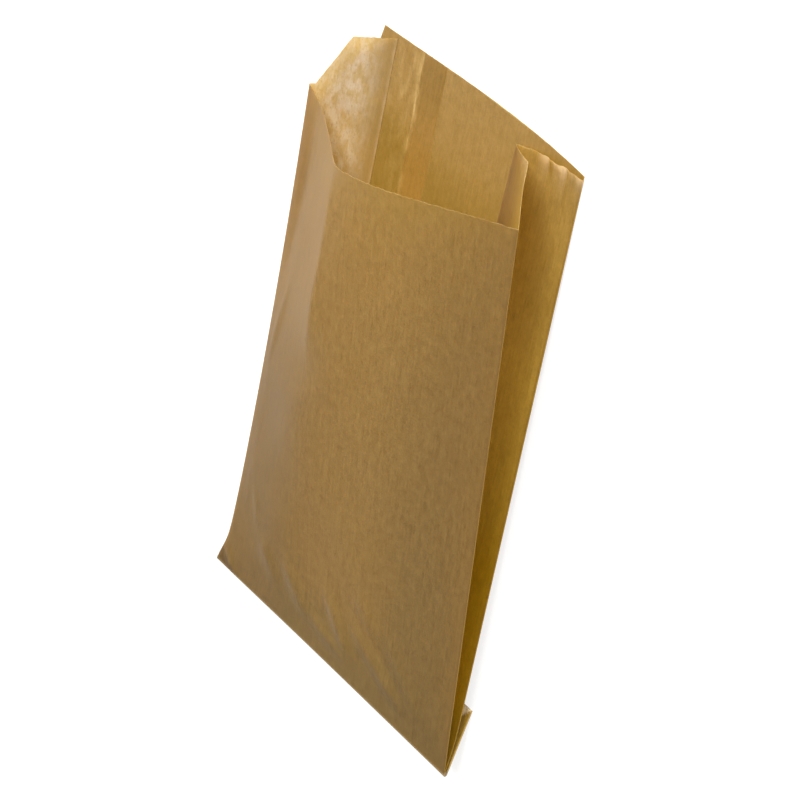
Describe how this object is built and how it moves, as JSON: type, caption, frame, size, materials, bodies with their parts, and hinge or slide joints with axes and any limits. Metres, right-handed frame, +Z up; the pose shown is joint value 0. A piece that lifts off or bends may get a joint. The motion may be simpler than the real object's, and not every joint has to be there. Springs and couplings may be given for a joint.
{
  "type": "paper pastry bag",
  "caption": "Plain brown kraft paper pastry bag with folded-in side gussets and a glued folded bottom, lying on its back with the mouth part open.",
  "frame": {"origin": "middle of the bounding box at floor level", "axes": "+X across the bag to the side whose gusset is seen, +Y along the bag from the bottom crease to the mouth, +Z up out of the front panel"},
  "size_m": [0.143, 0.2426, 0.0336],
  "materials": {
    "kraft": "matt uncoated brown kraft, faint fibre streaks along its length"
  },
  "bodies": {
    "root": {"paper_bag": "kraft"}
  },
  "joints": []
}
